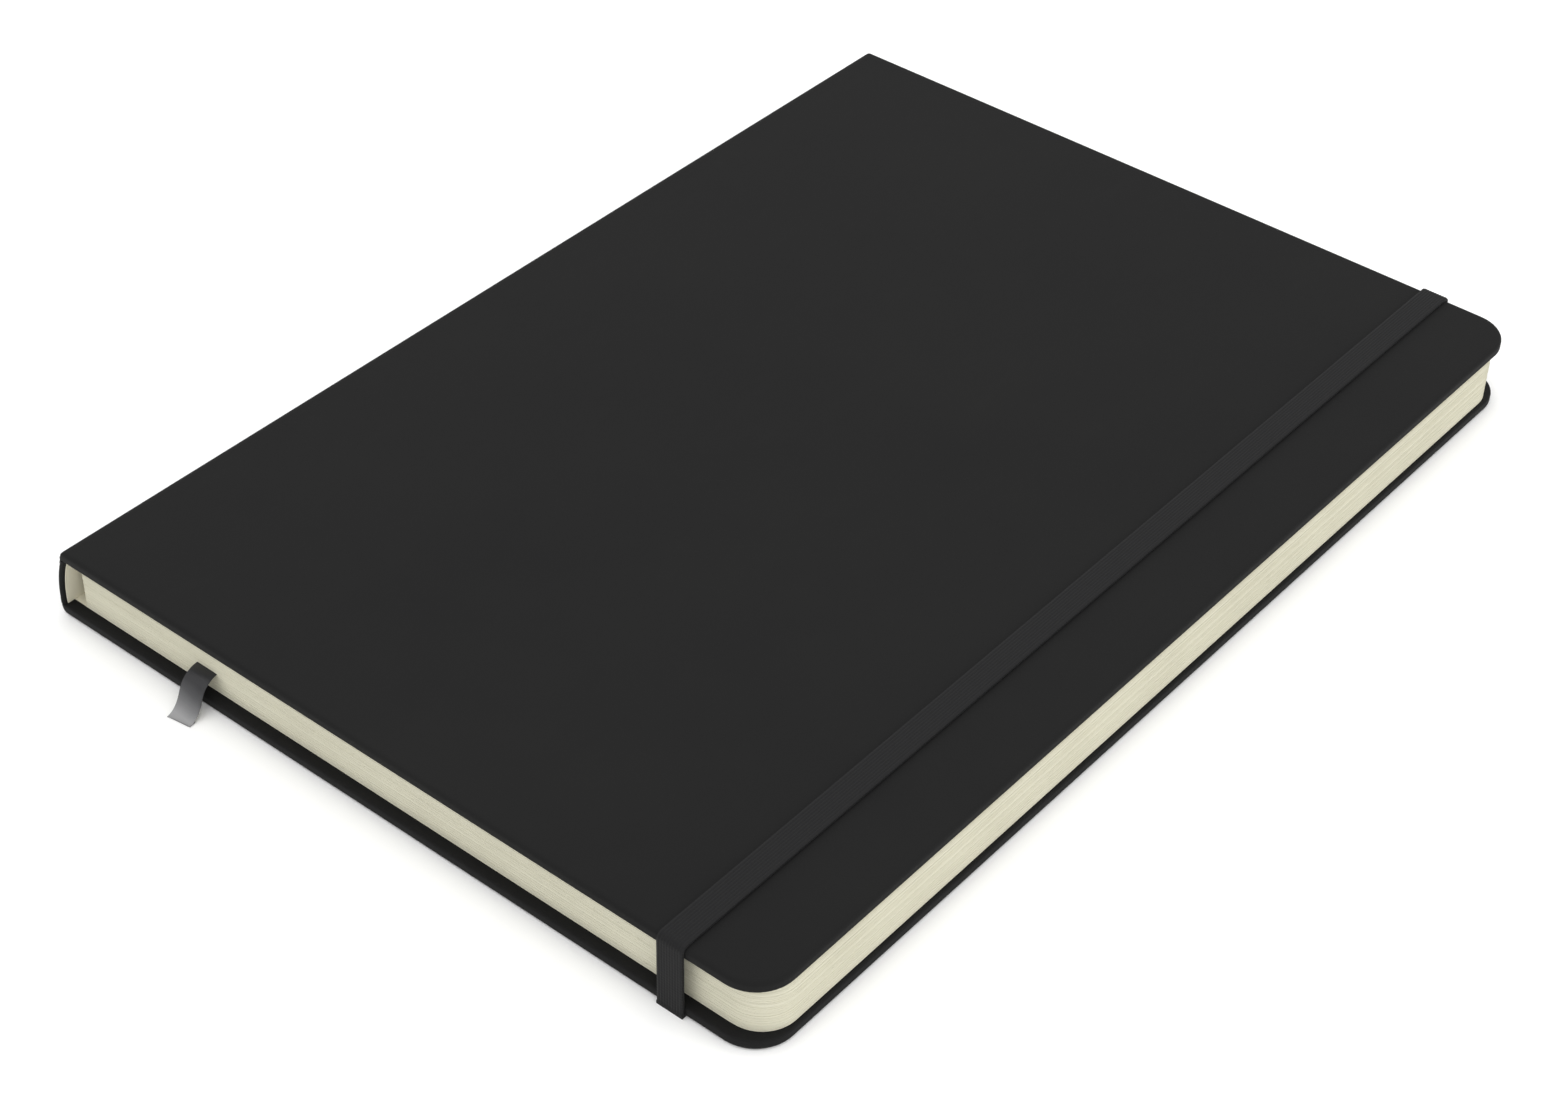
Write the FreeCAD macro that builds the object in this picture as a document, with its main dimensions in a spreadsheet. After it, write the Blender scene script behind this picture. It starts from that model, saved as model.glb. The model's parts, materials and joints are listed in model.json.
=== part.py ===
import FreeCAD, Part
import Sketcher
import math
import os

# A closed A4 hard-cover sketchbook lying on its back cover.
# +X runs from the spine to the fore edge, +Y from the tail to the head, +Z up.
# The origin is on the rest face, in the middle of the book's box.

OUT = "parts"
SIGNATURES = 10
RIBBON_SIGNATURE = 4
SEWING_STATIONS = 6

# Driving dimensions in millimetres, and degrees for the ribbon's turn.
SIZES = {
    "cover_length": 297.0,
    "cover_fore": 106.2,
    "front_spine": -103.8,
    "back_spine": -106.2,
    "cover_thick": 2.8,
    "cover_corner": 10.0,
    "cover_edge_round": 0.8,
    "front_spine_round": 2.0,
    "back_spine_round": 2.5,
    "joint_width": 2.8,
    "skin_thick": 0.3,
    "board_thick": 2.0,
    "turn_in_width": 15.0,
    "pastedown_thick": 0.2,
    "pastedown_spine": -101.2,
    "pastedown_fore": 103.2,
    "book_thick": 19.6,
    "page_length": 291.0,
    "page_fore": 105.2,
    "page_corner": 9.0,
    "page_fold": -100.5,
    "leaf_fold": -100.2,
    "flyleaf_thick": 0.2,
    "leaf_thick": 0.16,
    "leaf_gap": 0.06,
    "signature_thick": 1.29,
    "fold_round": 0.5,
    "spine_centre_x": -73.5,
    "spine_centre_z": 4.5,
    "spine_radius": 32.7,
    "spine_card_thick": 1.2,
    "spine_liner_thick": 0.2,
    "hinge_gap": 0.1,
    "gauze_thick": 0.3,
    "gauze_x": -101.35,
    "gauze_length": 260.0,
    "thread_x": -100.78,
    "thread_radius": 0.2,
    "thread_spacing": 46.0,
    "band_x": 82.6,
    "band_width": 7.0,
    "band_thick": 0.9,
    "band_gap": 0.05,
    "band_corner": 0.85,
    "tab_reach": 12.0,
    "tab_inner": 12.0,
    "ribbon_width": 6.5,
    "ribbon_thick": 0.3,
    "ribbon_x": -58.5,
    "ribbon_held": 286.0,
    "ribbon_turn": 7.5,
    "ribbon_side_gap": 0.3,
    "ribbon_end_gap": 1.0,
    "ribbon_over": 4.5,
    "ribbon_down": 8.0,
    "ribbon_tip": 11.0,
    "table_gap": 0.02,
    "cut_past": 10.0,
    "spine_window": 8.0,
    "liner_inset": 1.0,
    "thread_inset": 1.0,
}

document = FreeCAD.newDocument("Sketchbook")
sheet = document.addObject("Spreadsheet::Sheet", "Sizes")


def fill_sheet():
    """One row per driving dimension: its name in column A and its value in column B."""
    for row, (alias, value) in enumerate(SIZES.items(), start=1):
        sheet.set(f"A{row}", alias)
        sheet.set(f"B{row}", str(value))
        sheet.setAlias(f"B{row}", alias)
    document.recompute()


def size(alias):
    """The value of one cell."""
    return float(sheet.get(alias))


def cells(expression):
    """An expression in cell names, written for setExpression."""
    words = expression.replace("(", " ( ").replace(")", " ) ").split()
    return " ".join(f"Sizes.{word}" if word in SIZES else word for word in words)


def place(item, x="0", y="0", z="0"):
    """Binds the item's position to the sheet."""
    for axis, expression in (("x", x), ("y", y), ("z", z)):
        item.setExpression(f".Placement.Base.{axis}", cells(f"{expression} * 1mm"))


def rectangle(body, name, width, length, height=None):
    """A sketch of a rectangle about the body's origin, on its XY plane or above it."""
    plane = [item for item in body.Origin.OriginFeatures if item.Role == "XY_Plane"][0]
    sketch = body.newObject("Sketcher::SketchObject", name)
    sketch.AttachmentSupport = [(plane, "")]
    sketch.MapMode = "FlatFace"
    if height:
        sketch.setExpression(".AttachmentOffset.Base.z", cells(f"{height} * 1mm"))
    corners = [FreeCAD.Vector(x, y, 0) for x, y in ((-9, -9), (9, -9), (9, 9), (-9, 9))]
    for start, end in zip(corners, corners[1:] + corners[:1]):
        sketch.addGeometry(Part.LineSegment(start, end), False)
    for line in range(4):
        sketch.addConstraint(Sketcher.Constraint("Coincident", line, 2, (line + 1) % 4, 1))
        kind = "Horizontal" if line % 2 == 0 else "Vertical"
        sketch.addConstraint(Sketcher.Constraint(kind, line))
    sketch.addConstraint(Sketcher.Constraint("Symmetric", 0, 1, 2, 1, -1, 1))
    wide = sketch.addConstraint(Sketcher.Constraint("DistanceX", 0, 1, 0, 2, 18.0))
    long = sketch.addConstraint(Sketcher.Constraint("DistanceY", 1, 1, 1, 2, 18.0))
    sketch.setExpression(f"Constraints[{wide}]", cells(f"( {width} ) * 1mm"))
    sketch.setExpression(f"Constraints[{long}]", cells(f"( {length} ) * 1mm"))
    return sketch


def pad(body, sketch, thickness):
    """Raises a sketch by a thickness."""
    feature = body.newObject("PartDesign::Pad", f"{sketch.Name}_pad")
    feature.Profile = sketch
    feature.setExpression("Length", cells(f"( {thickness} ) * 1mm"))
    document.recompute()
    return feature


def edge_names(feature, test):
    """Names of the feature's edges whose bounding box passes the test."""
    edges = enumerate(feature.Shape.Edges, start=1)
    return [f"Edge{number}" for number, edge in edges if test(edge.BoundBox)]


def round_edges(body, feature, test, radius):
    """Rounds the edges that pass the test."""
    fillet = body.newObject("PartDesign::Fillet", f"{feature.Name}_round")
    fillet.Base = (feature, edge_names(feature, test))
    fillet.setExpression("Radius", cells(f"( {radius} ) * 1mm"))
    document.recompute()
    return fillet


def is_upright_at_fore(box):
    """An upright edge on the fore-edge side."""
    return box.XLength < 0.01 and box.YLength < 0.01 and box.XMin > 0


def plate(name, left, right, length, thickness, corner=None):
    """A level sheet from left to right, with its two fore-edge corners rounded."""
    body = document.addObject("PartDesign::Body", name)
    sketch = rectangle(body, f"{name}_outline", f"{right} - ( {left} )", length)
    feature = pad(body, sketch, thickness)
    if corner:
        feature = round_edges(body, feature, is_upright_at_fore, corner)
    return body, feature


def lay(body, left, right, bottom):
    """Puts a plate's middle between left and right, with its lower face at bottom."""
    place(body, f"( {left} + {right} ) / 2", "0", f"( {bottom} )")


def turn_over(body):
    """Turns a body about X, so that its outer face looks up."""
    body.Placement.Rotation = FreeCAD.Rotation(FreeCAD.Vector(1, 0, 0), 180)


def box(name, x, y, z, across, along, up):
    """A box from its lowest corner and its three sizes, all expressions."""
    item = document.addObject("Part::Box", name)
    item.setExpression("Length", cells(f"( {across} ) * 1mm"))
    item.setExpression("Width", cells(f"( {along} ) * 1mm"))
    item.setExpression("Height", cells(f"( {up} ) * 1mm"))
    place(item, f"( {x} )", f"( {y} )", f"( {z} )")
    return item


def combine(kind, name, items):
    """A fuse, common or compound of several items."""
    item = document.addObject(kind, name)
    if kind == "Part::Compound":
        item.Links = items
    else:
        item.Shapes = items
    return item


def cut(name, base, tool):
    """The base with the tool taken out."""
    item = document.addObject("Part::Cut", name)
    item.Base = base
    item.Tool = tool
    return item


def cover_envelope(name, spine, spine_round):
    """The outer form of one cover, lying on its outer face."""
    body, feature = plate(name, spine, "cover_fore", "cover_length", "cover_thick", "cover_corner")
    inner_z = size("cover_thick")
    outer_spine_edge = lambda edge: edge.ZMax < 0.01 and edge.XLength < 0.01 and edge.XMax < 0
    feature = round_edges(body, feature, outer_spine_edge, spine_round)
    outer_rim = lambda edge: edge.ZMax < 0.01 and edge.XMax - edge.XMin < 0.01 and edge.XMin > 0
    feature = round_edges(body, feature, outer_rim, "cover_edge_round")
    inner_rim = lambda edge: edge.ZMin > inner_z - 0.01 and edge.XLength < 0.01 and edge.XMin > 0
    round_edges(body, feature, inner_rim, "cover_edge_round / 2")
    return body


def cover_board(name, spine, spine_gap):
    """The grey board, raised in the middle to fill the space between the turn-ins."""
    left = f"{spine} + {spine_gap}"
    right = "cover_fore - skin_thick"
    length = "cover_length - 2 * skin_thick"
    body, feature = plate(name, left, right, length, "board_thick", "cover_corner - skin_thick")
    centre_shift = f"( {left} + {right} ) / 2"
    middle = rectangle(
        body,
        f"{name}_middle",
        f"{right} - ( {left} ) - 2 * turn_in_width",
        "cover_length - 2 * turn_in_width",
        "board_thick",
    )
    pad(body, middle, "skin_thick")
    return body, centre_shift


def cover_pieces(side, spine, spine_round, outer_z, facing_up, tabs):
    """Board, pastedown and skin of one cover. The skin is what the other pieces leave of the form."""
    envelope = cover_envelope(f"{side}_cover_form", spine, spine_round)
    board, board_x = cover_board(f"{side}_board_form", spine, "joint_width")
    pastedown, _ = plate(
        f"{side}_pastedown",
        "pastedown_spine",
        "pastedown_fore",
        "page_length",
        "pastedown_thick",
        "page_corner - 1",
    )
    sign = "-" if facing_up else "+"
    place(envelope, f"( {spine} + cover_fore ) / 2", "0", f"( {outer_z} )")
    place(board, board_x, "0", f"( {outer_z} {sign} skin_thick )")
    depth = "( cover_thick - pastedown_thick )"
    place(pastedown, "( pastedown_spine + pastedown_fore ) / 2", "0", f"( {outer_z} {sign} {depth} )")
    if facing_up:
        for body in (envelope, board, pastedown):
            turn_over(body)
    inside = combine("Part::MultiFuse", f"{side}_cover_inside", [board, pastedown] + tabs)
    cut(f"{side}_cover_skin", envelope, inside)
    if tabs:
        cut(f"{side}_board", board, combine("Part::MultiFuse", f"{side}_tabs", tabs))
    else:
        board.Label = f"{side}_board"


def elastic_end(name, toward):
    """One glued end of the elastic: a tab under the edge, through the board and along its inner face."""
    x = "band_x - band_width / 2"
    edge = "cover_length / 2 + band_gap + band_thick"
    inner_z = "cover_thick - pastedown_thick - band_thick"
    slit = "cover_length / 2 - tab_reach"
    outer_length = "tab_reach + band_gap + band_thick"
    riser_height = "cover_thick - pastedown_thick"
    inner_y = "cover_length / 2 - tab_reach - tab_inner + band_thick"
    if toward < 0:
        starts = (f"- ( {edge} )", f"- ( {slit} ) - band_thick", f"- ( {slit} ) - band_thick")
    else:
        starts = (slit, slit, inner_y)
    outer = box(f"{name}_outer", x, starts[0], "0", "band_width", outer_length, "band_thick")
    riser = box(f"{name}_riser", x, starts[1], "0", "band_width", "band_thick", riser_height)
    inner = box(f"{name}_inner", x, starts[2], inner_z, "band_width", "tab_inner", "band_thick")
    return combine("Part::MultiFuse", name, [outer, riser, inner])


def elastic_band():
    """The band over the front cover and its two legs down the head and tail edges."""
    long = "cover_length + 2 * band_gap + 2 * band_thick"
    half = "band_width / 2"
    body, feature = plate(
        "elastic_band",
        f"band_x - {half}",
        f"band_x + {half}",
        long,
        "book_thick",
    )
    top = size("book_thick")
    outer_top = lambda edge: edge.ZMin > top - 0.01 and edge.YLength < 0.01
    feature = round_edges(body, feature, outer_top, "band_corner")
    hollow = rectangle(body, "band_hollow", "band_width * 2", "cover_length + 2 * band_gap")
    pocket = body.newObject("PartDesign::Pocket", "band_inside")
    pocket.Profile = hollow
    pocket.Reversed = True
    pocket.setExpression("Length", cells("( book_thick - band_thick ) * 1mm"))
    place(body, "band_x", "0", "( band_thick + band_gap )")


def signature(number):
    """Eight sewn leaves as one section, rounded along its folded edge."""
    name = f"signature_{number:02d}"
    has_ribbon = number == RIBBON_SIGNATURE
    body, feature = plate(
        f"{name}_form" if has_ribbon else name,
        "page_fold",
        "page_fore",
        "page_length",
        "signature_thick",
        "page_corner",
    )
    folded = lambda edge: edge.XMax < 0 and edge.XLength < 0.01 and edge.ZLength < 0.01
    round_edges(body, feature, folded, "fold_round")
    below = "cover_thick + 2 * leaf_gap + flyleaf_thick"
    lay(body, "page_fold", "page_fore", f"{below} + {number - 1} * signature_thick")
    if has_ribbon:
        cut(name, body, ribbon_channel(f"{below} + {number} * signature_thick"))


def ribbon_channel(top):
    """The space that the ribbon presses into the section below it."""
    wide = "ribbon_width + 2 * ribbon_side_gap"
    channel = document.addObject("Part::Box", "ribbon_channel")
    channel.setExpression("Length", cells("( ribbon_held + ribbon_end_gap + cut_past ) * 1mm"))
    channel.setExpression("Width", cells(f"( {wide} ) * 1mm"))
    channel.setExpression("Height", cells("( ribbon_thick + leaf_gap ) * 1mm"))
    side = size("ribbon_width") / 2 + size("ribbon_side_gap")
    end = -size("ribbon_held") - size("ribbon_end_gap")
    corner = ribbon_frame().multVec(FreeCAD.Vector(end, -side, 0))
    channel.Placement = FreeCAD.Placement(corner, ribbon_frame().Rotation)
    channel.setExpression(
        ".Placement.Base.z", cells(f"( {top} - ribbon_thick - leaf_gap ) * 1mm")
    )
    return channel


def loose_leaf(name, thickness, bottom):
    """One leaf that turns on its own."""
    body, _ = plate(name, "leaf_fold", "page_fore", "page_length", thickness, "page_corner")
    lay(body, "leaf_fold", "page_fore", bottom)


def spine_shell(name, skin_outside, skin_inside, shorter, lower):
    """A curved strip of the spine wall between two radii, cut level at the two hinges."""
    discs = []
    for part, inset in (("outer", skin_outside), ("inner", skin_inside)):
        disc = document.addObject("Part::Cylinder", f"{name}_{part}")
        disc.setExpression("Radius", cells(f"( spine_radius - ( {inset} ) ) * 1mm"))
        disc.setExpression("Height", cells("( cover_length + 2 * cut_past ) * 1mm"))
        disc.Placement.Rotation = FreeCAD.Rotation(FreeCAD.Vector(1, 0, 0), 90)
        place(disc, "spine_centre_x", "( cover_length / 2 + cut_past )", "spine_centre_z")
        discs.append(disc)
    ring = cut(f"{name}_ring", discs[0], discs[1])
    window = box(
        f"{name}_window",
        "back_spine - cut_past",
        f"- cover_length / 2 + {shorter}",
        f"cover_thick + hinge_gap + {lower}",
        "cut_past + spine_window",
        f"cover_length - 2 * ( {shorter} )",
        f"book_thick - 2 * cover_thick - 2 * hinge_gap - 2 * ( {lower} )",
    )
    return combine("Part::MultiCommon", name, [ring, window])


def spine_pieces():
    """Card, skin round it and paper liner inside it."""
    skin = "skin_thick"
    card_inside = "skin_thick + spine_card_thick"
    wall = spine_shell("spine_wall_form", "0", card_inside, "0", "0")
    card = spine_shell("spine_card", skin, card_inside, skin, skin)
    cut("spine_skin", wall, card)
    spine_shell("spine_liner", card_inside, f"{card_inside} + spine_liner_thick", "liner_inset", "0")


def spine_gauze():
    """The glued gauze over the folded edges of the sections."""
    low = "cover_thick + 2 * flyleaf_thick"
    tall = f"{SIGNATURES} * signature_thick - flyleaf_thick"
    box("spine_gauze", "gauze_x", "- gauze_length / 2", low, "gauze_thick", "gauze_length", tall)


def sewing_thread():
    """Link stitches that join the sections, one run at each sewing station."""
    runs = []
    for station in range(SEWING_STATIONS):
        run = document.addObject("Part::Cylinder", f"stitch_{station + 1}")
        run.setExpression("Radius", cells("thread_radius * 1mm"))
        run.setExpression("Height", cells(f"( {SIGNATURES} * signature_thick - thread_inset ) * 1mm"))
        offset = station - (SEWING_STATIONS - 1) / 2
        place(run, "thread_x", f"( {offset} * thread_spacing )", "( cover_thick + thread_inset )")
        runs.append(run)
    combine("Part::Compound", "sewing_thread", runs)


def ribbon_frame():
    """Where the ribbon leaves the pages, with X along the ribbon towards its free end."""
    turn = FreeCAD.Rotation(FreeCAD.Vector(0, 0, 1), size("ribbon_turn") - 90)
    exit_point = FreeCAD.Vector(size("ribbon_x"), -size("page_length") / 2, 0)
    return FreeCAD.Placement(exit_point, turn)


def ribbon_route():
    """The ribbon's middle line: along the section, over the edge and onto the table."""
    section_top = (
        size("cover_thick")
        + 2 * size("leaf_gap")
        + size("flyleaf_thick")
        + RIBBON_SIGNATURE * size("signature_thick")
    )
    held_z = section_top - size("ribbon_thick") / 2 - size("leaf_gap") / 2
    table_z = size("ribbon_thick") / 2 + size("table_gap")
    points = (
        (-size("ribbon_held"), held_z),
        (size("ribbon_over"), held_z),
        (size("ribbon_down"), table_z),
        (size("ribbon_tip"), table_z),
    )
    return [FreeCAD.Vector(along, 0, up) for along, up in points]


def rounded_path(points):
    """Straight runs joined by tangent arcs, each as large as its two runs allow."""
    share_of_run = 0.45
    edges = []
    start = points[0]
    for before, corner, after in zip(points, points[1:], points[2:]):
        back = before - corner
        ahead = after - corner
        reach = share_of_run * min(back.Length, ahead.Length)
        turn = math.pi - back.getAngle(ahead)
        print("ribbon arc radius", round(reach / math.tan(turn / 2), 2))
        back.normalize()
        ahead.normalize()
        arc_start = corner + back * reach
        arc_end = corner + ahead * reach
        middle_way = (back + ahead).normalize()
        radius = reach / math.tan(turn / 2)
        depth = math.hypot(reach, radius) - radius
        edges.append(Part.LineSegment(start, arc_start).toShape())
        edges.append(Part.Arc(arc_start, corner + middle_way * depth, arc_end).toShape())
        start = arc_end
    edges.append(Part.LineSegment(start, points[-1]).toShape())
    return Part.Wire(edges)


def ribbon():
    """The woven marker: a flat strip swept along its route."""
    route = ribbon_route()
    path = rounded_path(route)
    half_width = size("ribbon_width") / 2
    half_thick = size("ribbon_thick") / 2
    corners = [
        route[0] + FreeCAD.Vector(0, side * half_width, face * half_thick)
        for side, face in ((-1, -1), (1, -1), (1, 1), (-1, 1))
    ]
    section = Part.Wire(Part.makePolygon(corners + corners[:1]).Edges)
    strip = path.makePipeShell([section], True, True)
    expected = size("ribbon_width") * size("ribbon_thick") * path.Length
    print("ribbon length", round(path.Length, 2), "volume ratio", strip.Volume / expected)
    item = document.addObject("Part::Feature", "ribbon")
    item.Shape = strip
    item.Placement = ribbon_frame()


def write_parts(names):
    """Checks every object, then writes one file for each sub-part."""
    document.recompute()
    for item in document.Objects:
        if "Invalid" in item.State or "Error" in item.State:
            raise RuntimeError(f"{item.Label} did not compute: {item.State}")
    items = {item.Label: item for item in document.Objects}
    for name in names:
        shape = items[name].Shape
        if shape.isNull() or not shape.isValid() or not shape.Solids:
            raise RuntimeError(f"{name} has no valid solid")
    os.makedirs(OUT, exist_ok=True)
    for name in names:
        items[name].Shape.exportStep(f"{OUT}/{name}.step")
        print(name, round(items[name].Shape.Volume, 1))


fill_sheet()
tabs = [elastic_end("elastic_end_tail", -1), elastic_end("elastic_end_head", 1)]
cover_pieces("back", "back_spine", "back_spine_round", "0", False, tabs)
cover_pieces("front", "front_spine", "front_spine_round", "book_thick", True, [])
spine_pieces()
spine_gauze()
sewing_thread()
for count in range(1, SIGNATURES + 1):
    signature(count)
loose_leaf("back_flyleaf", "flyleaf_thick", "cover_thick + leaf_gap")
block_top = "book_thick - cover_thick"
loose_leaf("front_flyleaf", "flyleaf_thick", f"{block_top} - leaf_gap - flyleaf_thick")
first_leaf = f"{block_top} - 2 * leaf_gap - flyleaf_thick - leaf_thick"
loose_leaf("first_leaf", "leaf_thick", first_leaf)
loose_leaf("second_leaf", "leaf_thick", f"{first_leaf} - leaf_gap - leaf_thick")
elastic_band()
ribbon()
write_parts(
    ["front_board", "front_pastedown", "front_cover_skin"]
    + ["back_board", "back_pastedown", "back_cover_skin"]
    + ["elastic_end_tail", "elastic_end_head", "elastic_band"]
    + ["spine_card", "spine_skin", "spine_liner", "spine_gauze", "sewing_thread"]
    + [f"signature_{count:02d}" for count in range(1, SIGNATURES + 1)]
    + ["front_flyleaf", "first_leaf", "second_leaf", "back_flyleaf", "ribbon"]
)
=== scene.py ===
import json
import math
import random

import bmesh
import bpy
from mathutils import Matrix, Vector


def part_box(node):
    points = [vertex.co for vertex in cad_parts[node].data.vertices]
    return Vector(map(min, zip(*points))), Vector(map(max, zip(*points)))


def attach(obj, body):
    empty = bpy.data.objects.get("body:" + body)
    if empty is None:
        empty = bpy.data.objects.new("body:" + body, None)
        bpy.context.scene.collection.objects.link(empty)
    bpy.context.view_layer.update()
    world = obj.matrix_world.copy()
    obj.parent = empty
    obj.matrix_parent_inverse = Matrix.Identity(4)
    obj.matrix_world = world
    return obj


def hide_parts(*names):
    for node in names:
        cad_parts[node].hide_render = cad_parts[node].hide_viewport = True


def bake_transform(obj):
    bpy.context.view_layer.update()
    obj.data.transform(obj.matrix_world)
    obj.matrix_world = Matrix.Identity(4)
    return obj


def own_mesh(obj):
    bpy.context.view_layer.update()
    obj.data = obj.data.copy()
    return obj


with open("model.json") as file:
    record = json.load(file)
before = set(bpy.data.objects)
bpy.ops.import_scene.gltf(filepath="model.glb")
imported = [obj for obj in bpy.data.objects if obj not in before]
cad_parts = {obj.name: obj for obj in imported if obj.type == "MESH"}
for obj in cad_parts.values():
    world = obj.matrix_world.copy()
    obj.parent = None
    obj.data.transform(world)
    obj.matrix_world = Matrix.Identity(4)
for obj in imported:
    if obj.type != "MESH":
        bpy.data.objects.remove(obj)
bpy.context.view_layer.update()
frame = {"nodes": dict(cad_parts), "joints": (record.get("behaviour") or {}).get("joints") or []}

MM = 0.001
NODES = frame["nodes"]


def hinge(name):
    """Where a joint's axis lies, in the frame."""
    joint = next(item for item in frame["joints"] if item["name"] == name)
    return Vector(joint["pos_m"])


# ---------------------------------------------------------------- camera, light and floor

CAMERA_PLACE = Vector((0.3608, -0.4608, 0.4663))
CAMERA_LENS = 70.6
CAMERA_RIGHT = Vector((0.76899, 0.63907, 0.01561))
CAMERA_AHEAD = Vector((-0.48501, 0.59917, -0.63699))


def make_camera():
    data = bpy.data.cameras.new("camera")
    data.lens = CAMERA_LENS
    data.sensor_width = 36.0
    data.sensor_fit = "HORIZONTAL"
    camera = bpy.data.objects.new("camera", data)
    bpy.context.scene.collection.objects.link(camera)
    right = CAMERA_RIGHT.normalized()
    ahead = CAMERA_AHEAD.normalized()
    up = right.cross(ahead).normalized()
    turn = Matrix((right, up, -ahead)).transposed().to_4x4()
    camera.matrix_world = Matrix.Translation(CAMERA_PLACE) @ turn
    bpy.context.scene.camera = camera


def area_light(name, place, width, height, power):
    """A soft lamp that faces the middle of the object."""
    data = bpy.data.lights.new(name, "AREA")
    data.shape = "RECTANGLE"
    data.size = width
    data.size_y = height
    data.energy = power
    light = bpy.data.objects.new(name, data)
    bpy.context.scene.collection.objects.link(light)
    light.location = place
    light.rotation_mode = "QUATERNION"
    light.rotation_quaternion = (-Vector(place)).to_track_quat("-Z", "Y")


def make_studio():
    area_light("top_softbox", (0.2, -0.5, 1.4), 2.0, 2.0, 10)
    area_light("left_softbox", (-1.3, 0.4, 0.8), 1.2, 0.9, 1.5)
    area_light("right_softbox", (1.3, 0.4, 0.6), 1.2, 0.9, 4)
    world = bpy.data.worlds.new("studio")
    bpy.context.scene.world = world
    world.use_nodes = True
    background = world.node_tree.nodes["Background"]
    background.inputs["Color"].default_value = (1.0, 1.0, 1.0, 1.0)
    background.inputs["Strength"].default_value = 1.0
    bpy.context.scene.view_settings.view_transform = "Standard"


def make_floor():
    floor_mesh = bpy.data.meshes.new("floor")
    half = 6.0
    corners = [(-half, -half, 0), (half, -half, 0), (half, half, 0), (-half, half, 0)]
    floor_mesh.from_pydata(corners, [], [(0, 1, 2, 3)])
    floor = bpy.data.objects.new("floor", floor_mesh)
    bpy.context.scene.collection.objects.link(floor)
    floor.location.z = -0.05 * MM
    material = new_material("floor", (0.96, 0.96, 0.955), 0.8)
    floor.data.materials.append(material)


# ---------------------------------------------------------------- materials


def new_material(name, colour, roughness, specular=0.5):
    material = bpy.data.materials.new(name)
    material.use_nodes = True
    shader = material.node_tree.nodes["Principled BSDF"]
    shader.inputs["Base Color"].default_value = (*colour, 1.0)
    shader.inputs["Roughness"].default_value = roughness
    shader.inputs["Specular IOR Level"].default_value = specular
    return material


class Nodes:
    """Short names for building one material's nodes."""

    def __init__(self, material):
        self.tree = material.node_tree
        self.shader = self.tree.nodes["Principled BSDF"]
        self.place = self.add("ShaderNodeTexCoord").outputs["Object"]

    def add(self, kind, **settings):
        node = self.tree.nodes.new(kind)
        for key, value in settings.items():
            setattr(node, key, value)
        return node

    def link(self, source, target):
        self.tree.links.new(source, target)

    def scaled(self, x, y, z):
        mapping = self.add("ShaderNodeMapping")
        mapping.inputs["Scale"].default_value = (x, y, z)
        self.link(self.place, mapping.inputs["Vector"])
        return mapping.outputs["Vector"]

    def noise(self, vector, scale, detail=2.0, roughness=0.5):
        node = self.add("ShaderNodeTexNoise")
        node.inputs["Scale"].default_value = scale
        node.inputs["Detail"].default_value = detail
        node.inputs["Roughness"].default_value = roughness
        self.link(vector, node.inputs["Vector"])
        return node.outputs["Fac"]

    def cells(self, vector, scale):
        node = self.add("ShaderNodeTexVoronoi", feature="F1")
        node.inputs["Scale"].default_value = scale
        self.link(vector, node.inputs["Vector"])
        return node.outputs["Distance"]

    def wave(self, vector, scale, direction, distortion=0.0):
        node = self.add("ShaderNodeTexWave", bands_direction=direction)
        node.inputs["Scale"].default_value = scale
        node.inputs["Distortion"].default_value = distortion
        self.link(vector, node.inputs["Vector"])
        return node.outputs["Fac"]

    def spread(self, value, low, high, from_low=0.0, from_high=1.0):
        node = self.add("ShaderNodeMapRange")
        node.inputs["From Min"].default_value = from_low
        node.inputs["From Max"].default_value = from_high
        node.inputs["To Min"].default_value = low
        node.inputs["To Max"].default_value = high
        self.link(value, node.inputs["Value"])
        return node.outputs["Result"]

    def combine(self, operation, first, second):
        node = self.add("ShaderNodeMath", operation=operation)
        for socket, value in zip(node.inputs, (first, second)):
            if isinstance(value, (int, float)):
                socket.default_value = value
            else:
                self.link(value, socket)
        return node.outputs["Value"]

    def colours(self, factor, *stops):
        ramp = self.add("ShaderNodeValToRGB")
        elements = ramp.color_ramp.elements
        for index, (place, colour) in enumerate(stops):
            element = elements[index] if index < 2 else elements.new(place)
            element.position = place
            element.color = (*colour, 1.0)
        self.link(factor, ramp.inputs["Fac"])
        return ramp.outputs["Color"]

    def bump(self, height, distance, strength=1.0, base=None):
        node = self.add("ShaderNodeBump")
        node.inputs["Distance"].default_value = distance
        node.inputs["Strength"].default_value = strength
        self.link(height, node.inputs["Height"])
        if base:
            self.link(base, node.inputs["Normal"])
        return node.outputs["Normal"]

    def finish(self, colour=None, roughness=None, normal=None):
        sources = {"Base Color": colour, "Roughness": roughness, "Normal": normal}
        for name, source in sources.items():
            if source:
                self.link(source, self.shader.inputs[name])


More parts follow.
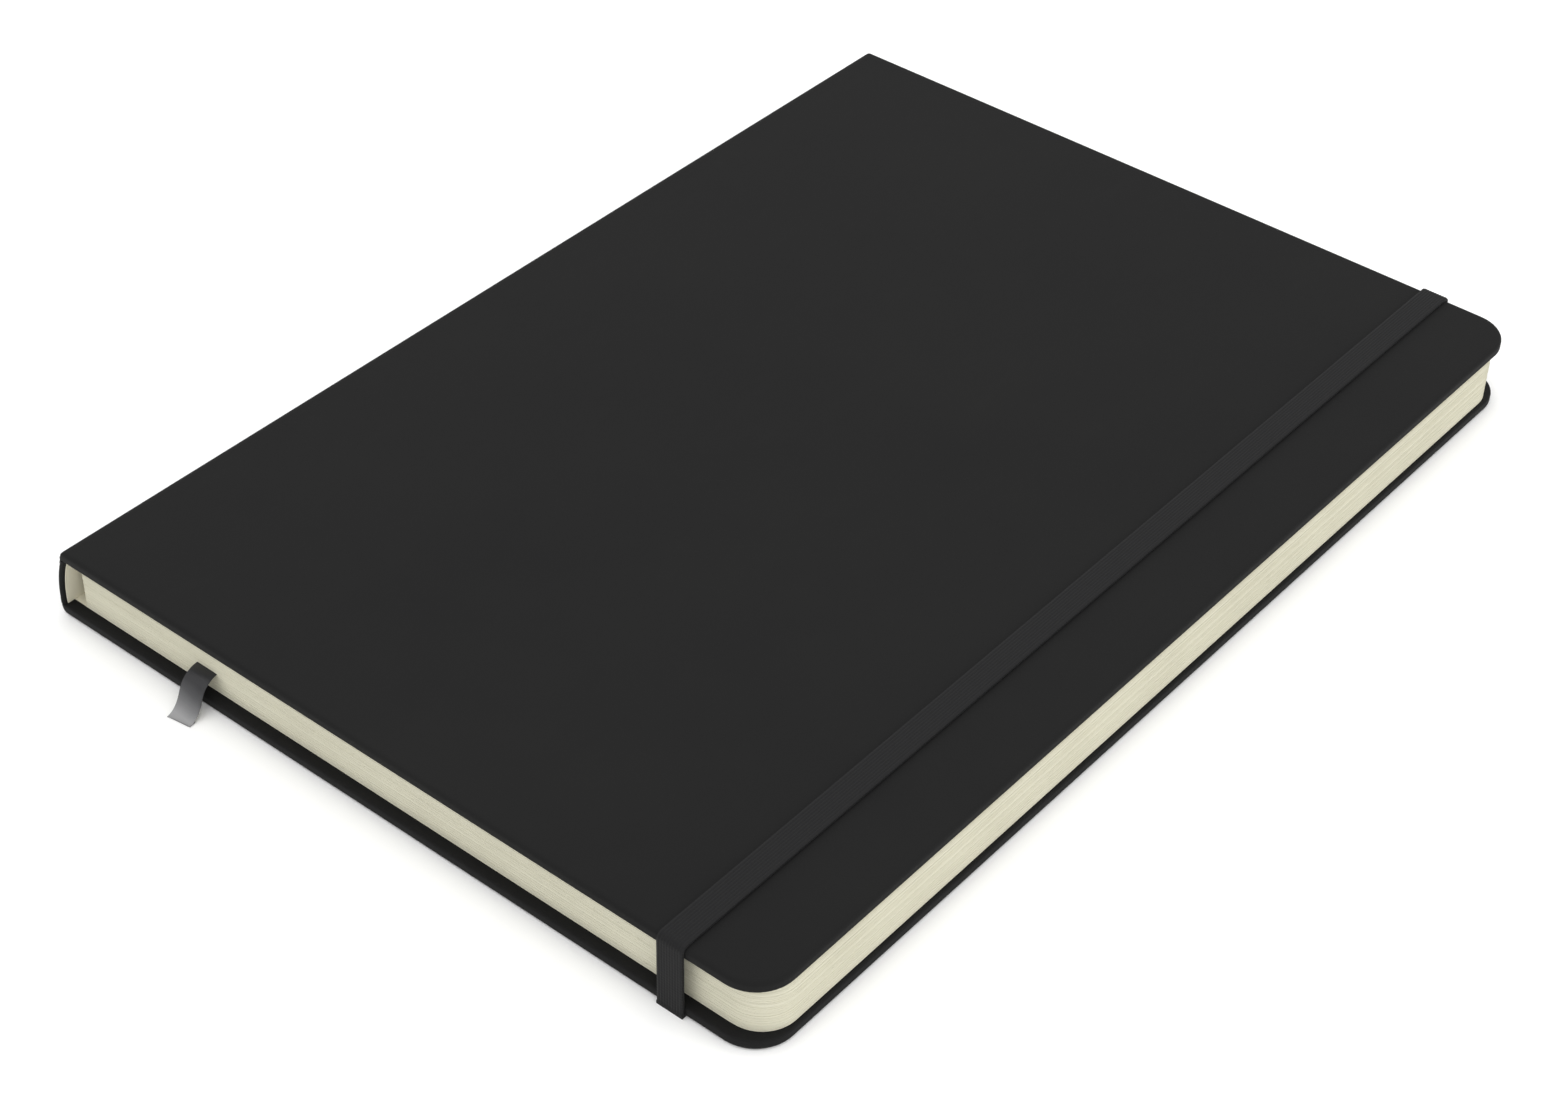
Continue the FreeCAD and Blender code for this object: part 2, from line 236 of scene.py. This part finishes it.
def cover_material(name, tone):
    """Soft-touch coated cover cloth: fine pebbled grain, satin patches and rubbed spots."""
    material = new_material(name, (tone, tone, tone), 0.66, 0.06)
    nodes = Nodes(material)
    grain = nodes.cells(nodes.place, 2600.0)
    fine = nodes.noise(nodes.place, 5200.0, 3.0)
    clouds = nodes.noise(nodes.place, 22.0, 3.0, 0.6)
    rubbed = nodes.noise(nodes.scaled(1.0, 0.35, 1.0), 160.0, 4.0, 0.65)
    dark = (tone * 0.93, tone * 0.93, tone * 0.94)
    light = (tone * 1.08, tone * 1.08, tone * 1.07)
    colour = nodes.colours(clouds, (0.3, dark), (0.7, light))
    satin = nodes.spread(clouds, 0.64, 0.68, 0.3, 0.7)
    worn = nodes.spread(rubbed, 0.0, -0.03, 0.55, 0.75)
    roughness = nodes.combine("ADD", satin, worn)
    pebble = nodes.bump(grain, 0.035 * MM, 0.55)
    skin = nodes.bump(fine, 0.02 * MM, 0.5, pebble)
    nodes.finish(colour, roughness, skin)
    nodes.shader.inputs["Sheen Weight"].default_value = 0.015
    nodes.shader.inputs["Sheen Roughness"].default_value = 0.5
    return material


def paper_material(name, pale, deep, layered):
    """Uncoated cream paper, with the cut leaves' fine layers where they show."""
    material = new_material(name, pale, 0.88, 0.2)
    nodes = Nodes(material)
    fibres = nodes.noise(nodes.scaled(1.0, 0.4, 1.0), 900.0, 4.0, 0.6)
    mottle = nodes.noise(nodes.place, 45.0, 2.0)
    if layered:
        layers = nodes.noise(nodes.scaled(4.0, 4.0, 5200.0), 1.0, 2.0)
        layers = nodes.combine("MULTIPLY", layers, 0.65)
        mottle = nodes.combine("ADD", nodes.combine("MULTIPLY", mottle, 0.35), layers)
    colour = nodes.colours(mottle, (0.32, deep), (0.66, pale))
    roughness = nodes.spread(fibres, 0.82, 0.94, 0.3, 0.7)
    normal = nodes.bump(fibres, 0.012 * MM, 0.6)
    nodes.finish(colour, roughness, normal)
    return material


def elastic_material():
    """Knitted elastic: fine crossing threads over its long ribs, slightly fuzzy."""
    material = new_material("elastic", (0.011, 0.011, 0.0115), 0.7, 0.12)
    nodes = Nodes(material)
    weft = nodes.wave(nodes.place, 380.0, "Y", 0.6)
    drop = nodes.wave(nodes.place, 380.0, "Z", 0.6)
    crossing = nodes.combine("MULTIPLY", weft, drop)
    fuzz = nodes.noise(nodes.place, 4200.0, 3.0, 0.6)
    dark = (0.008, 0.008, 0.0084)
    light = (0.016, 0.016, 0.0164)
    colour = nodes.colours(fuzz, (0.3, dark), (0.72, light))
    threads = nodes.bump(crossing, 0.05 * MM, 0.6)
    normal = nodes.bump(fuzz, 0.02 * MM, 0.5, threads)
    nodes.finish(colour, nodes.spread(fuzz, 0.6, 0.78, 0.3, 0.7), normal)
    nodes.shader.inputs["Sheen Weight"].default_value = 0.04
    nodes.shader.inputs["Sheen Roughness"].default_value = 0.4
    return material


def ribbon_material():
    """Woven satin: close lengthwise floats crossed by fine weft, with a painted sheen that
    lightens it towards the free end.
    """
    material = new_material("satin_ribbon", (0.06, 0.06, 0.064), 0.4, 0.3)
    nodes = Nodes(material)
    floats = nodes.wave(nodes.place, 900.0, "X", 0.4)
    weft = nodes.wave(nodes.place, 620.0, "Y", 0.8)
    shade = nodes.noise(nodes.place, 240.0, 3.0)
    split = nodes.add("ShaderNodeSeparateXYZ")
    nodes.link(nodes.place, split.inputs["Vector"])
    # Painted sheen: the colour turns from dark to pale grey over the last few millimetres to the
    # free end, standing in for the light the flat satin catches there.
    painted_sheen = nodes.spread(split.outputs["Y"], 0.95, 0.0, -155.0 * MM, -150.0 * MM)
    tone = nodes.combine("ADD", painted_sheen, nodes.combine("MULTIPLY", shade, 0.12))
    dark = (0.018, 0.018, 0.02)
    middle = (0.055, 0.055, 0.058)
    # The pale stop is the colour of the painted sheen at the free end.
    pale = (0.28, 0.28, 0.284)
    colour = nodes.colours(tone, (0.0, dark), (0.35, middle), (1.0, pale))
    weave = nodes.bump(floats, 0.03 * MM, 0.5)
    normal = nodes.bump(weft, 0.015 * MM, 0.4, weave)
    nodes.finish(colour, nodes.spread(weft, 0.3, 0.44), normal)
    nodes.shader.inputs["Sheen Weight"].default_value = 0.1
    nodes.shader.inputs["Sheen Roughness"].default_value = 0.35
    return material


def cloth_material(name, pale, deep, pitch):
    """Plain woven cotton for the gauze and the sewing thread."""
    material = new_material(name, pale, 0.9, 0.2)
    nodes = Nodes(material)
    warp = nodes.wave(nodes.place, pitch, "Z")
    weft = nodes.wave(nodes.place, pitch, "Y")
    weave = nodes.combine("ADD", warp, weft)
    colour = nodes.colours(weave, (0.2, deep), (0.9, pale))
    nodes.finish(colour, None, nodes.bump(weave, 0.08 * MM, 0.8))
    return material


# ---------------------------------------------------------------- mesh helpers


def add_mesh(name, points, faces, material, smooth=35.0):
    """A mesh object with tidy normals, smooth except across edges sharper than the given angle."""
    mesh = bpy.data.meshes.new(name)
    mesh.from_pydata([tuple(point) for point in points], [], faces)
    build = bmesh.new()
    build.from_mesh(mesh)
    bmesh.ops.recalc_face_normals(build, faces=build.faces)
    build.to_mesh(mesh)
    build.free()
    mesh.materials.append(material)
    mesh.shade_smooth()
    mesh.set_sharp_from_angle(angle=math.radians(smooth))
    piece = bpy.data.objects.new(name, mesh)
    bpy.context.scene.collection.objects.link(piece)
    return piece


def loop_faces(rings, count):
    """Quads that join rings of equal length, and one face over each end."""
    faces = []
    for ring in range(rings - 1):
        for index in range(count):
            after = (index + 1) % count
            low = ring * count
            faces.append((low + index, low + after, low + count + after, low + count + index))
    faces.append(tuple(range(count)))
    faces.append(tuple((rings - 1) * count + index for index in range(count)))
    return faces


def outline(left, right, half_length, fore_round, spine_round, inset_fore, inset_spine):
    """A rectangle with rounded corners, drawn inwards by an inset on each side."""
    corner_steps = 14
    spine_steps = 4
    x0 = left + inset_spine
    x1 = right - inset_fore
    y1 = half_length - inset_fore
    fore = max(fore_round - inset_fore, 0.05 * MM)
    spine = max(spine_round - min(inset_fore, inset_spine), 0.05 * MM)
    corners = (
        (x1 - fore, y1 - fore, fore, 0.0, corner_steps),
        (x0 + spine, y1 - spine, spine, 90.0, spine_steps),
        (x0 + spine, -y1 + spine, spine, 180.0, spine_steps),
        (x1 - fore, -y1 + fore, fore, 270.0, corner_steps),
    )
    points = []
    for x, y, radius, start, steps in corners:
        for step in range(steps + 1):
            angle = math.radians(start + 90.0 * step / steps)
            points.append((x + radius * math.cos(angle), y + radius * math.sin(angle)))
    return points


def roll_inset(depth, radius):
    """How far a rounded edge has drawn in at a depth under its face."""
    if depth >= radius:
        return 0.0
    return radius - math.sqrt(max(radius * radius - (radius - depth) ** 2, 0.0))


def read_line(points, steps_per_span):
    """Points along a smooth NURBS line through the middle of a route's runs."""
    curve = bpy.data.curves.new("route", "CURVE")
    curve.dimensions = "3D"
    spline = curve.splines.new("NURBS")
    spline.points.add(len(points) - 1)
    for target, point in zip(spline.points, points):
        target.co = (*point, 1.0)
    spline.order_u = 3
    spline.use_endpoint_u = True
    spline.resolution_u = steps_per_span
    holder = bpy.data.objects.new("route", curve)
    bpy.context.scene.collection.objects.link(holder)
    depsgraph = bpy.context.evaluated_depsgraph_get()
    line = bpy.data.meshes.new_from_object(holder.evaluated_get(depsgraph))
    found = [vertex.co.copy() for vertex in line.vertices]
    bpy.data.objects.remove(holder)
    bpy.data.curves.remove(curve)
    bpy.data.meshes.remove(line)
    return found


# ---------------------------------------------------------------- covers and spine

EDGE_ROUND = 0.95 * MM
INNER_ROUND = 0.45 * MM
COVER_CORNER = 10.0 * MM
SPINE_CORNER = 0.9 * MM
PASTEDOWN_RELIEF = 0.06 * MM
SPINE_CENTRE_X = -73.5 * MM
SPINE_CENTRE_Z = 4.5 * MM
SPINE_RADIUS = SPINE_CENTRE_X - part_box("spine_skin")[0].x
SPINE_WALL = 1.5 * MM
OUTER_RIM = 0.6 * MM
INNER_RIM = 1.2 * MM


def make_cover(name, node, spine_round, outer_up, material):
    """One covered board: rolled edges, a softer roll at the spine and square spine corners."""
    low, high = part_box(node)
    thick = high.z - low.z
    depths = [0.0, 0.03, 0.08, 0.15, 0.24, 0.35, 0.5, 0.7, 0.95, 1.25, 1.6, 2.0]
    rings = [(0.0, EDGE_ROUND + OUTER_RIM, spine_round + OUTER_RIM)]
    for depth in depths:
        depth = depth * MM
        rings.append((depth, roll_inset(depth, EDGE_ROUND), roll_inset(depth, spine_round)))
    for depth in (0.45, 0.3, 0.18, 0.08, 0.0):
        inset = roll_inset(depth * MM, INNER_ROUND)
        rings.append((thick - PASTEDOWN_RELIEF - depth * MM, inset, inset))
    rings.append((thick - PASTEDOWN_RELIEF, INNER_RIM, INNER_RIM))
    points = []
    for depth, inset, spine_inset in rings:
        z = high.z - depth if outer_up else low.z + depth
        ring = outline(low.x, high.x, high.y, COVER_CORNER, SPINE_CORNER, inset, spine_inset)
        points += [(x, y, z) for x, y in ring]
    count = len(points) // len(rings)
    return add_mesh(name, points, loop_faces(len(rings), count), material)


def spine_x(z, depth=0.0):
    """Where the spine wall's surface is at a height, at a depth under its outside."""
    reach = SPINE_RADIUS - depth
    return SPINE_CENTRE_X - math.sqrt(reach * reach - (z - SPINE_CENTRE_Z) ** 2)


def make_spine(material):
    """The skin round the spine card, with rolled head and tail ends."""
    low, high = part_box("spine_skin")
    steps = 26
    heights = [low.z + (high.z - low.z) * step / steps for step in range(steps + 1)]
    rolled = ((0.0, 0.675), (0.08, 0.45), (0.2, 0.25), (0.38, 0.1), (0.7, 0.0))
    ends = [(along * MM - high.y, sink * MM) for along, sink in rolled]
    ends += [(-y, sink) for y, sink in ends[::-1]]
    points = []
    for y, sink in ends:
        points += [(spine_x(z, sink), y, z) for z in heights]
        points += [(spine_x(z, SPINE_WALL - sink), y, z) for z in heights[::-1]]
    faces = loop_faces(len(ends), 2 * len(heights))
    piece = add_mesh("spine_cover", points, faces, material, 40.0)
    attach(piece, "text_block")
    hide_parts("spine_skin", "spine_card")


def make_strip(name, profile, half_length, thickness, material):
    """A thin closed strip along Y: a line of (x, z) points given a thickness."""
    columns = 2
    rings = []
    normals = []
    for index, (x, z) in enumerate(profile):
        before = profile[max(index - 1, 0)]
        after = profile[min(index + 1, len(profile) - 1)]
        along = Vector((after[0] - before[0], after[1] - before[1])).normalized()
        normals.append(Vector((-along.y, along.x)))
    for step in range(columns + 1):
        y = -half_length + 2 * half_length * step / columns
        front = [(x, y, z) for x, z in profile]
        back = [
            (x + normal.x * thickness, y, z + normal.y * thickness)
            for (x, z), normal in zip(profile, normals)
        ]
        rings.append(front + back[::-1])
    points = [point for ring in rings for point in ring]
    return add_mesh(name, points, loop_faces(len(rings), len(rings[0])), material, 50.0)


def make_skin_joints(material):
    """The flexible stretches of cover skin over the two hinges."""
    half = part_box("spine_skin")[1].y - 0.35 * MM
    proud = 0.05 * MM
    front_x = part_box("front_cover_skin")[0].x
    profile = [(spine_x(z * MM), z * MM) for z in (15.4, 15.8, 16.2, 16.5)]
    profile.append(((profile[-1][0] + front_x) / 2, 16.65 * MM))
    profile += [(front_x, z * MM) for z in (16.8, 17.0, 17.3, 17.6)]
    strip = make_strip("front_joint_skin", profile, half, proud, material)
    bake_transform(strip)

    back_x = hinge("back_cover_hinge").x + 0.4 * MM
    profile = [(back_x, z * MM) for z in (2.5, 2.65, 2.8)]
    profile += [(spine_x(z * MM), z * MM) for z in (3.1, 3.4, 3.8, 4.2)]
    strip = make_strip("back_joint_skin", profile, half, proud, material)
    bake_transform(strip)


def make_paper_joints(material):
    """The folds of endpaper between the block and the paper glued in each cover."""
    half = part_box("front_flyleaf")[1].y
    thick = 0.012 * MM
    fold_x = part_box("front_flyleaf")[0].x
    pastedown_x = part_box("front_pastedown")[0].x + 0.2 * MM
    front = hinge("front_cover_hinge")
    low_z = front.z - 0.09 * MM
    high_z = front.z - 0.015 * MM
    turn_x = front.x + 0.5 * MM
    profile = [(fold_x, low_z - 0.12 * MM), (fold_x - 0.9 * MM, low_z - 0.04 * MM)]
    profile += [(turn_x + 0.8 * MM, low_z), (turn_x + 0.15 * MM, low_z)]
    profile += [(turn_x, (low_z + high_z) / 2), (turn_x + 0.15 * MM, high_z)]
    profile += [(turn_x + 1.2 * MM, high_z), (pastedown_x, high_z)]
    strip = make_strip("front_joint_paper", profile, half, thick, material)
    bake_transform(strip)

    back = hinge("back_cover_hinge")
    low_z = back.z + 0.015 * MM
    high_z = back.z + 0.08 * MM
    turn_x = back.x + 0.65 * MM
    profile = [(fold_x, high_z + 0.05 * MM), (turn_x + 1.5 * MM, high_z)]
    profile += [(turn_x + 0.15 * MM, high_z), (turn_x, (low_z + high_z) / 2)]
    profile += [(turn_x + 0.15 * MM, low_z), (turn_x + 2.0 * MM, low_z), (pastedown_x, low_z)]
    strip = make_strip("back_joint_paper", profile, half, thick, material)
    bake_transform(strip)


# ---------------------------------------------------------------- pages

SIGNATURES = 10
LEAVES = 8
PAGE_CORNER = 9.0 * MM


def make_signature(number, material, draw):
    """Eight cut leaves as thin sheets, each a hair out of line with its neighbours."""
    node = f"signature_{number:02d}"
    low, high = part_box(node)
    pitch = (high.z - low.z) / LEAVES
    gap = 0.012 * MM
    points = []
    faces = []
    for leaf in range(LEAVES):
        slip_x = draw.uniform(-0.09, 0.05) * MM
        slip_y = draw.uniform(-0.06, 0.06) * MM
        fold = 0.35 * MM * abs(leaf - (LEAVES - 1) / 2) / (LEAVES / 2)
        base = low.z + leaf * pitch + gap / 2
        top = base + pitch - gap
        ring = outline(low.x + fold, high.x + slip_x, high.y, PAGE_CORNER, 0.3 * MM, 0.0, 0.0)
        first = len(points)
        points += [(x, y + slip_y, base) for x, y in ring]
        points += [(x, y + slip_y, top) for x, y in ring]
        for face in loop_faces(2, len(ring)):
            faces.append(tuple(first + index for index in face))
    piece = add_mesh(f"pages_{number:02d}", points, faces, material, 30.0)
    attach(piece, "text_block")
    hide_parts(node)


def make_leaf(name, node, bend_length, material):
    """A single flat sheet, divided finely for a stretch beside its fold."""
    low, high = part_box(node)
    rows = 8
    bend_end = low.x + bend_length + 6 * MM
    xs = [low.x + (bend_end - low.x) * step / 44 for step in range(45)]
    corner_x = high.x - PAGE_CORNER
    xs += [bend_end + (corner_x - bend_end) * step / 12 for step in range(1, 13)]
    xs += [corner_x + PAGE_CORNER * math.sin(math.radians(step * 6)) for step in range(1, 16)]
    points = []
    for z in (low.z, high.z):
        for x in xs:
            corner = max(0.0, x - corner_x)
            half = high.y - (PAGE_CORNER - math.sqrt(max(PAGE_CORNER**2 - corner**2, 0.0)))
            for row in range(rows + 1):
                points.append((x, -half + 2 * half * row / rows, z))
    across = len(xs)
    along = rows + 1
    layer = across * along
    faces = []
    for i in range(across - 1):
        for j in range(rows):
            a = i * along + j
            quad = (a, a + 1, a + along + 1, a + along)
            faces.append(quad)
            faces.append(tuple(layer + index for index in reversed(quad)))
    border = [i * along for i in range(across)]
    border += [(across - 1) * along + j for j in range(1, along)]
    border += [i * along + rows for i in range(across - 2, -1, -1)]
    border += [j for j in range(rows - 1, 0, -1)]
    for a, b in zip(border, border[1:] + border[:1]):
        faces.append((a, b, layer + b, layer + a))
    piece = add_mesh(name, points, faces, material, 40.0)
    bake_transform(piece)
    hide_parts(node)


# ---------------------------------------------------------------- elastic band

RIBS = 9
BAND_THICK = 0.9 * MM


def band_section():
    """The elastic's cross-section: long ribs on the outside, rounded sides and a flat inside."""
    low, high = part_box("elastic_band")
    half = (high.x - low.x) / 2
    rib_height = 0.1 * MM
    side = 0.28 * MM
    points = [(-half + side, 0.0), (-half + 0.06 * MM, 0.1 * MM), (-half, 0.32 * MM)]
    points += [(-half, 0.6 * MM), (-half + 0.08 * MM, 0.76 * MM)]
    steps = RIBS * 6
    for step in range(steps + 1):
        share = step / steps
        across = -half + side + (2 * half - 2 * side) * share
        ripple = abs(math.sin(math.pi * RIBS * share))
        points.append((across, BAND_THICK - rib_height + rib_height * ripple))
    points += [(half - 0.08 * MM, 0.76 * MM), (half, 0.6 * MM), (half, 0.32 * MM)]
    points += [(half - 0.06 * MM, 0.1 * MM), (half - side, 0.0)]
    return points


def make_band(material):
    """The elastic over the front cover, down both edges to its glued ends."""
    low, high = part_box("elastic_band")
    inner_y = high.y - BAND_THICK
    inner_z = high.z - BAND_THICK
    bend = 0.95 * MM
    route = [(inner_y, low.z, 0.0), (inner_y, (low.z + high.z) / 2, 0.0)]
    steps = 10
    for step in range(steps + 1):
        angle = math.radians(90.0 * step / steps)
        y = inner_y - bend + bend * math.cos(angle)
        z = inner_z - bend + bend * math.sin(angle)
        route.append((y, z, math.degrees(angle)))
    spans = 24
    reach = inner_y - bend
    for step in range(1, spans):
        route.append((reach - 2 * reach * step / spans, inner_z, 90.0))
    route += [(-y, z, 180.0 - turn) for y, z, turn in route[: steps + 3][::-1]]
    section = band_section()
    middle = (low.x + high.x) / 2
    points = []
    for y, z, turn in route:
        out = Vector((math.cos(math.radians(turn)), math.sin(math.radians(turn))))
        for across, outward in section:
            points.append((middle + across, y + out.x * outward, z + out.y * outward))
    faces = loop_faces(len(route), len(section))
    piece = add_mesh("elastic_closure", points, faces, material, 50.0)
    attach(piece, "elastic_band")
    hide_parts("elastic_band")
    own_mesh(piece)


# ---------------------------------------------------------------- ribbon marker

RIBBON_WIDTH = 6.5 * MM
RIBBON_THICK = 0.3 * MM
RIBBON_TURN = math.radians(7.5 - 90.0)
RIBBON_EXIT = Vector((-58.5 * MM, -145.5 * MM, 0.0))
RIBBON_ROUTE = ((-286.0, 8.1), (-3.5, 8.1), (4.5, 8.1), (8.0, 0.17), (11.0, 0.17))


def ribbon_point(along, across, up):
    """A point on the ribbon's own axes, put in the frame."""
    turned = Matrix.Rotation(RIBBON_TURN, 3, "Z") @ Vector((along, across, 0.0))
    return Vector((RIBBON_EXIT.x + turned.x, RIBBON_EXIT.y + turned.y, up))


def make_ribbon(material):
    """A flat woven strip that follows its route, with a slanted cut end."""
    route = [ribbon_point(along * MM, 0.0, up * MM) for along, up in RIBBON_ROUTE]
    line = read_line(route, 24)
    width_way = (ribbon_point(0, 1, 0) - ribbon_point(0, 0, 0)).normalized()
    columns = 8
    points = []
    for index, place in enumerate(line):
        before = line[max(index - 1, 0)]
        after = line[min(index + 1, len(line) - 1)]
        ahead = (after - before).normalized()
        normal = width_way.cross(ahead).normalized()
        if normal.z < 0:
            normal = -normal
        slant = 2.0 * MM if index == len(line) - 1 else 0.0
        ring = []
        for side in (0.5, -0.5):
            for column in range(columns + 1):
                share = column / columns - 0.5
                share = share if side > 0 else -share
                edge = 1.0 if abs(share) < 0.45 else 0.45
                shift = width_way * (share * RIBBON_WIDTH) + normal * (side * RIBBON_THICK * edge)
                ring.append(place + shift - ahead * (slant * (share + 0.5)))
        points += ring
    count = 2 * (columns + 1)
    piece = add_mesh("ribbon_marker", points, loop_faces(len(line), count), material, 50.0)
    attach(piece, "text_block")
    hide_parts("ribbon")


# ---------------------------------------------------------------- putting it together


def paint(names, material):
    """Gives CAD nodes that stay their material."""
    for name in names:
        slots = NODES[name].data.materials
        slots.clear()
        slots.append(material)


def main():
    make_camera()
    make_studio()
    make_floor()
    skin = cover_material("cover_skin", 0.011)
    page = paper_material("page", (0.655, 0.635, 0.515), (0.565, 0.545, 0.43), True)
    leaf = paper_material("leaf", (0.72, 0.69, 0.56), (0.71, 0.68, 0.55), False)
    endpaper = paper_material("endpaper", (0.73, 0.695, 0.56), (0.72, 0.683, 0.549), False)
    elastic = elastic_material()

    front = make_cover("front_cover_board", "front_cover_skin", 2.0 * MM, True, skin)
    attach(front, "front_cover")
    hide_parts("front_cover_skin", "front_board")
    back = make_cover("back_cover_board", "back_cover_skin", 2.45 * MM, False, skin)
    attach(back, "back_cover")
    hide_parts("back_cover_skin", "back_board")
    make_spine(skin)
    make_skin_joints(skin)
    make_paper_joints(endpaper)

    draw = random.Random(7)
    for number in range(1, SIGNATURES + 1):
        make_signature(number, page, draw)
    make_leaf("flyleaf_front", "front_flyleaf", 16 * MM, endpaper)
    make_leaf("leaf_first", "first_leaf", 18 * MM, leaf)
    make_leaf("leaf_second", "second_leaf", 30 * MM, leaf)
    make_leaf("flyleaf_back", "back_flyleaf", 3 * MM, endpaper)

    make_band(elastic)
    make_ribbon(ribbon_material())
    paint(["front_pastedown", "back_pastedown", "spine_liner"], endpaper)
    paint(["elastic_end_head", "elastic_end_tail"], elastic)
    paint(["spine_gauze"], cloth_material("gauze", (0.74, 0.71, 0.62), (0.4, 0.38, 0.32), 900.0))
    paint(["sewing_thread"], cloth_material("thread", (0.8, 0.77, 0.68), (0.6, 0.57, 0.5), 1500.0))


main()
